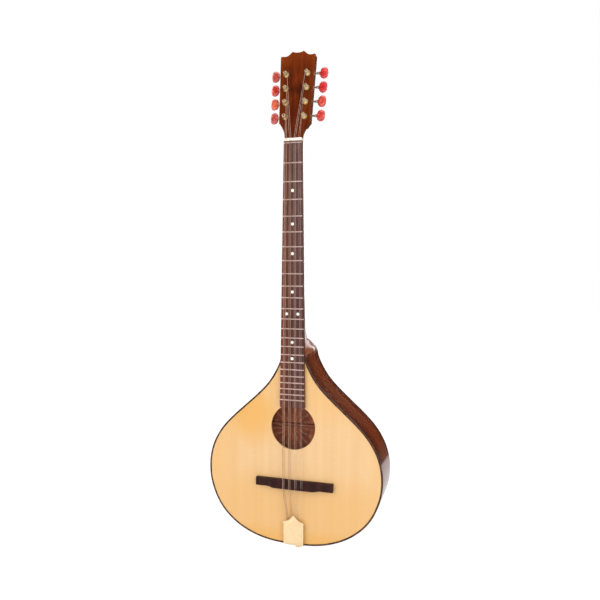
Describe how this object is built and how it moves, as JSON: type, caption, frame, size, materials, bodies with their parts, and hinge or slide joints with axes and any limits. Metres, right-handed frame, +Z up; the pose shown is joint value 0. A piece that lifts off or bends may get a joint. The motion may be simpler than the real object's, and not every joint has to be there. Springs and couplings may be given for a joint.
{
  "type": "flat-back bouzouki",
  "caption": "Long-necked plucked lute with a flat teardrop body, round sound hole, paired strings, floating bridge, covered tailpiece and geared tuners.",
  "frame": {"origin": "on the axis of the end pin at the tail, at the middle of the pin's neck", "axes": "+Z up the neck from tail to head, -Y out of the soundboard (the playing side), +X towards the treble strings"},
  "size_m": [0.3436, 0.1064, 0.9559],
  "materials": {
    "spruce_top": "satin lacquer over fine straight grain",
    "rib_wood": "gloss lacquer over dark red-brown hardwood",
    "binding_wood": "gloss dark strip",
    "inner_wood": "bare sanded",
    "neck_wood": "gloss lacquer",
    "headplate_wood": "high gloss lacquer",
    "fingerboard_wood": "oiled, handled",
    "bridge_wood": "satin",
    "pin_brass": "turned and polished",
    "fret_metal": "polished nickel silver",
    "pearl": "pearl",
    "bone": "polished bone",
    "bronze_wire": "wound bronze",
    "plain_wire": "bright plain steel",
    "tuner_gold": "gold plate",
    "gear_brass": "cut brass",
    "nut_brass": "turned",
    "tailpiece_gold": "bright plate",
    "button_pearloid": "marbled pearl gloss",
    "dark_steel": "oiled",
    "screw_steel": "plated"
  },
  "bodies": {
    "instrument": {"soundboard": "spruce_top", "back_plate": "rib_wood", "rib_treble": "rib_wood", "rib_bass": "rib_wood", "bindings": "binding_wood", "head_block": "inner_wood", "tail_block": "inner_wood", "linings": "inner_wood", "soundboard_braces": "inner_wood", "back_braces": "inner_wood", "neck": "neck_wood", "heel_cap": "binding_wood", "headplate": "headplate_wood", "fingerboard": "fingerboard_wood", "frets": "fret_metal", "position_dots": "pearl", "truss_rod": "dark_steel", "wound_strings": "bronze_wire", "plain_strings": "plain_wire", "nut": "bone", "tailpiece_base": "tuner_gold", "end_pin": "pin_brass", "wood_screws": "screw_steel", "tuner_plates": "tuner_gold", "tuner_bushings": "tuner_gold"},
    "bridge": {"bridge": "bridge_wood"},
    "tailpiece_cover": {"tailpiece_cover": "tailpiece_gold"},
    "truss_rod_nut": {"truss_rod_nut": "nut_brass"},
    "bass_1_key": {"bass_1_worm": "tuner_gold", "bass_1_button": "button_pearloid"},
    "bass_1_roller": {"bass_1_post": "tuner_gold", "bass_1_gear": "gear_brass"},
    "bass_2_key": {"bass_2_worm": "tuner_gold", "bass_2_button": "button_pearloid"},
    "bass_2_roller": {"bass_2_post": "tuner_gold", "bass_2_gear": "gear_brass"},
    "bass_3_key": {"bass_3_worm": "tuner_gold", "bass_3_button": "button_pearloid"},
    "bass_3_roller": {"bass_3_post": "tuner_gold", "bass_3_gear": "gear_brass"},
    "bass_4_key": {"bass_4_worm": "tuner_gold", "bass_4_button": "button_pearloid"},
    "bass_4_roller": {"bass_4_post": "tuner_gold", "bass_4_gear": "gear_brass"},
    "treble_1_key": {"treble_1_worm": "tuner_gold", "treble_1_button": "button_pearloid"},
    "treble_1_roller": {"treble_1_post": "tuner_gold", "treble_1_gear": "gear_brass"},
    "treble_2_key": {"treble_2_worm": "tuner_gold", "treble_2_button": "button_pearloid"},
    "treble_2_roller": {"treble_2_post": "tuner_gold", "treble_2_gear": "gear_brass"},
    "treble_3_key": {"treble_3_worm": "tuner_gold", "treble_3_button": "button_pearloid"},
    "treble_3_roller": {"treble_3_post": "tuner_gold", "treble_3_gear": "gear_brass"},
    "treble_4_key": {"treble_4_worm": "tuner_gold", "treble_4_button": "button_pearloid"},
    "treble_4_roller": {"treble_4_post": "tuner_gold", "treble_4_gear": "gear_brass"}
  },
  "joints": [
    {"name": "bass_1_key_turn", "type": "hinge", "parent": "instrument", "child": "bass_1_key", "pos_m": [-0.02076, -0.00038, 0.90135], "axis": [-0.9997, -0.0045, -0.0258], "continuous": true},
    {"name": "bass_1_post_turn", "type": "hinge", "parent": "instrument", "child": "bass_1_roller", "pos_m": [-0.02058, -0.01828, 0.8972], "axis": [0, -0.9848, 0.1736], "continuous": true},
    {"name": "bass_2_key_turn", "type": "hinge", "parent": "instrument", "child": "bass_2_key", "pos_m": [-0.02004, -0.00519, 0.87407], "axis": [-0.9997, -0.0045, -0.0258], "continuous": true},
    {"name": "bass_2_post_turn", "type": "hinge", "parent": "instrument", "child": "bass_2_roller", "pos_m": [-0.01985, -0.02309, 0.86992], "axis": [0, -0.9848, 0.1736], "continuous": true},
    {"name": "bass_3_key_turn", "type": "hinge", "parent": "instrument", "child": "bass_3_key", "pos_m": [-0.01931, -0.01, 0.84679], "axis": [-0.9997, -0.0045, -0.0258], "continuous": true},
    {"name": "bass_3_post_turn", "type": "hinge", "parent": "instrument", "child": "bass_3_roller", "pos_m": [-0.01913, -0.0279, 0.84264], "axis": [0, -0.9848, 0.1736], "continuous": true},
    {"name": "bass_4_key_turn", "type": "hinge", "parent": "instrument", "child": "bass_4_key", "pos_m": [-0.01859, -0.01481, 0.81952], "axis": [-0.9997, -0.0045, -0.0258], "continuous": true},
    {"name": "bass_4_post_turn", "type": "hinge", "parent": "instrument", "child": "bass_4_roller", "pos_m": [-0.0184, -0.03271, 0.81536], "axis": [0, -0.9848, 0.1736], "continuous": true},
    {"name": "treble_1_key_turn", "type": "hinge", "parent": "instrument", "child": "treble_1_key", "pos_m": [0.02076, -0.00038, 0.90135], "axis": [0.9997, -0.0045, -0.0258], "continuous": true},
    {"name": "treble_1_post_turn", "type": "hinge", "parent": "instrument", "child": "treble_1_roller", "pos_m": [0.02058, -0.01828, 0.8972], "axis": [0, -0.9848, 0.1736], "continuous": true},
    {"name": "treble_2_key_turn", "type": "hinge", "parent": "instrument", "child": "treble_2_key", "pos_m": [0.02004, -0.00519, 0.87407], "axis": [0.9997, -0.0045, -0.0258], "continuous": true},
    {"name": "treble_2_post_turn", "type": "hinge", "parent": "instrument", "child": "treble_2_roller", "pos_m": [0.01985, -0.02309, 0.86992], "axis": [0, -0.9848, 0.1736], "continuous": true},
    {"name": "treble_3_key_turn", "type": "hinge", "parent": "instrument", "child": "treble_3_key", "pos_m": [0.01931, -0.01, 0.84679], "axis": [0.9997, -0.0045, -0.0258], "continuous": true},
    {"name": "treble_3_post_turn", "type": "hinge", "parent": "instrument", "child": "treble_3_roller", "pos_m": [0.01913, -0.0279, 0.84264], "axis": [0, -0.9848, 0.1736], "continuous": true},
    {"name": "treble_4_key_turn", "type": "hinge", "parent": "instrument", "child": "treble_4_key", "pos_m": [0.01859, -0.01481, 0.81952], "axis": [0.9997, -0.0045, -0.0258], "continuous": true},
    {"name": "treble_4_post_turn", "type": "hinge", "parent": "instrument", "child": "treble_4_roller", "pos_m": [0.0184, -0.03271, 0.81536], "axis": [0, -0.9848, 0.1736], "continuous": true},
    {"name": "tailpiece_cover_slide", "type": "slide", "parent": "instrument", "child": "tailpiece_cover", "axis": [0, 0, -1], "range_m": [0, 0.065], "stiffness_N_per_m": 30, "springref_m": -0.03},
    {"name": "bridge_intonation_slide", "type": "slide", "parent": "instrument", "child": "bridge", "axis": [0, 0, 1], "range_m": [0, 0.003]},
    {"name": "truss_rod_nut_turn", "type": "hinge", "parent": "instrument", "child": "truss_rod_nut", "pos_m": [0, -0.0305, 0.309], "axis": [0, 0, 1], "range_deg": [-180, 180]}
  ],
  "couplings": [
    {"joint": "bass_1_post_turn", "follows": "bass_1_key_turn", "ratio": -0.071429},
    {"joint": "bass_2_post_turn", "follows": "bass_2_key_turn", "ratio": -0.071429},
    {"joint": "bass_3_post_turn", "follows": "bass_3_key_turn", "ratio": -0.071429},
    {"joint": "bass_4_post_turn", "follows": "bass_4_key_turn", "ratio": -0.071429},
    {"joint": "treble_1_post_turn", "follows": "treble_1_key_turn", "ratio": 0.071429},
    {"joint": "treble_2_post_turn", "follows": "treble_2_key_turn", "ratio": 0.071429},
    {"joint": "treble_3_post_turn", "follows": "treble_3_key_turn", "ratio": 0.071429},
    {"joint": "treble_4_post_turn", "follows": "treble_4_key_turn", "ratio": 0.071429}
  ]
}
